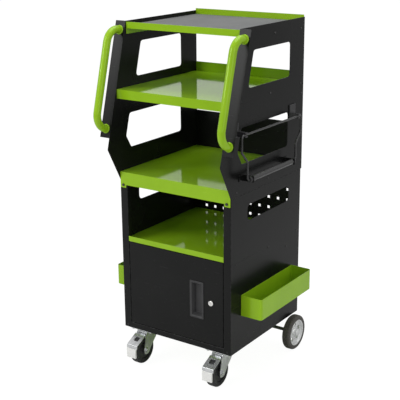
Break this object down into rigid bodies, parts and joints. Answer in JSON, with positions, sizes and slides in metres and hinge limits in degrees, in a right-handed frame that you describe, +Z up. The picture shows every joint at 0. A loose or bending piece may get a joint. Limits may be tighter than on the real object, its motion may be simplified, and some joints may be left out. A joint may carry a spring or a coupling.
{
  "type": "tool cart",
  "caption": "Upright sheet-steel tool cart: open tray hutch over a lockable cupboard, push handles, side bins, fold-down wire rack, braked swivel casters and large rear wheels.",
  "frame": {"origin": "on the floor, under the middle of the cart's bounding box", "axes": "+Z up, -Y towards the door and the handles, +X to the right of someone facing the door"},
  "size_m": [0.594, 0.5575, 1.182],
  "materials": {
    "black_paint": "satin powder coat",
    "green_paint": "gloss powder coat",
    "grey_mat": "matt, finely pebbled",
    "black_plastic": "fine moulded texture",
    "caster_rubber": "satin moulded",
    "white_plastic": "semi-gloss",
    "zinc": "bright zinc plate",
    "nickel": "polished nickel plate",
    "black_steel": "black plated",
    "tyre_rubber": "matt, moulded tread",
    "silver_plastic": "silver painted plastic"
  },
  "bodies": {
    "root": {"axle_bracket_left": "black_paint", "axle_bracket_right": "black_paint", "bottom_rail": "black_paint", "cabinet_back": "black_paint", "cabinet_base": "green_paint", "cabinet_side_left": "black_paint", "cabinet_side_right": "black_paint", "caster_plate_left": "zinc", "caster_plate_right": "zinc", "cupboard_roof": "green_paint", "handle_left": "green_paint", "handle_right": "green_paint", "hinge_pin_lower": "black_steel", "hinge_pin_upper": "black_steel", "hutch_back": "black_paint", "hutch_side_left": "black_paint", "hutch_side_right": "black_paint", "lock_keeper": "zinc", "lower_tray": "green_paint", "middle_tray": "green_paint", "rack_bar": "black_steel", "rack_bracket_front": "black_paint", "rack_bracket_rear": "black_paint", "rack_clip_front": "black_plastic", "rack_clip_rear": "black_plastic", "rear_axle": "black_steel", "side_bin_left": "green_paint", "side_bin_right": "green_paint", "top_mat": "grey_mat", "top_tray": "green_paint", "tray_bolt_left": "black_steel", "tray_bolt_right": "black_steel"},
    "door_body": {"door": "black_paint", "door_handle_cup": "black_plastic", "lock_body": "nickel"},
    "lock": {"lock_plug": "nickel", "lock_cam": "zinc"},
    "rack": {"rack_wire": "black_steel", "rack_collar_front": "black_plastic", "rack_collar_rear": "black_plastic"},
    "caster_swivel_left": {"caster_fork_left": "zinc", "caster_axle_left": "zinc"},
    "caster_wheel_left": {"caster_tyre_left": "caster_rubber", "caster_hub_left": "black_plastic"},
    "brake_left": {"brake_pedal_left": "zinc", "pedal_toe_left": "white_plastic"},
    "rear_wheel_left": {"rear_tyre_left": "tyre_rubber", "rear_rim_left": "silver_plastic", "axle_cap_left": "silver_plastic"},
    "caster_swivel_right": {"caster_fork_right": "zinc", "caster_axle_right": "zinc"},
    "caster_wheel_right": {"caster_tyre_right": "caster_rubber", "caster_hub_right": "black_plastic"},
    "brake_right": {"brake_pedal_right": "zinc", "pedal_toe_right": "white_plastic"},
    "rear_wheel_right": {"rear_tyre_right": "tyre_rubber", "rear_rim_right": "silver_plastic", "axle_cap_right": "silver_plastic"}
  },
  "joints": [
    {"name": "door_hinge", "type": "hinge", "parent": "root", "child": "door_body", "pos_m": [-0.184, -0.17217, 0.2955], "axis": [0, 0, -1], "range_deg": [0, 105]},
    {"name": "lock_turn", "type": "hinge", "parent": "door_body", "child": "lock", "pos_m": [0.1435, -0.17217, 0.2955], "axis": [0, -1, 0], "range_deg": [0, 90]},
    {"name": "rack_fold", "type": "hinge", "parent": "root", "child": "rack", "pos_m": [0.251, 0.01833, 0.714], "axis": [0, 1, 0], "range_deg": [0, 90]},
    {"name": "swivel_left", "type": "hinge", "parent": "root", "child": "caster_swivel_left", "pos_m": [-0.157, -0.12967, 0.1127], "axis": [0, 0, 1], "continuous": true},
    {"name": "caster_roll_left", "type": "hinge", "parent": "caster_swivel_left", "child": "caster_wheel_left", "pos_m": [-0.157, -0.16467, 0.05], "axis": [1, 0, 0], "continuous": true},
    {"name": "brake_left", "type": "hinge", "parent": "caster_swivel_left", "child": "brake_left", "pos_m": [-0.157, -0.16167, 0.1072], "axis": [1, 0, 0], "range_deg": [0, 4]},
    {"name": "rear_roll_left", "type": "hinge", "parent": "root", "child": "rear_wheel_left", "pos_m": [-0.23, 0.22283, 0.0625], "axis": [1, 0, 0], "continuous": true},
    {"name": "swivel_right", "type": "hinge", "parent": "root", "child": "caster_swivel_right", "pos_m": [0.157, -0.12967, 0.1127], "axis": [0, 0, 1], "continuous": true},
    {"name": "caster_roll_right", "type": "hinge", "parent": "caster_swivel_right", "child": "caster_wheel_right", "pos_m": [0.157, -0.16467, 0.05], "axis": [1, 0, 0], "continuous": true},
    {"name": "brake_right", "type": "hinge", "parent": "caster_swivel_right", "child": "brake_right", "pos_m": [0.157, -0.16167, 0.1072], "axis": [1, 0, 0], "range_deg": [0, 4]},
    {"name": "rear_roll_right", "type": "hinge", "parent": "root", "child": "rear_wheel_right", "pos_m": [0.23, 0.22283, 0.0625], "axis": [1, 0, 0], "continuous": true}
  ]
}
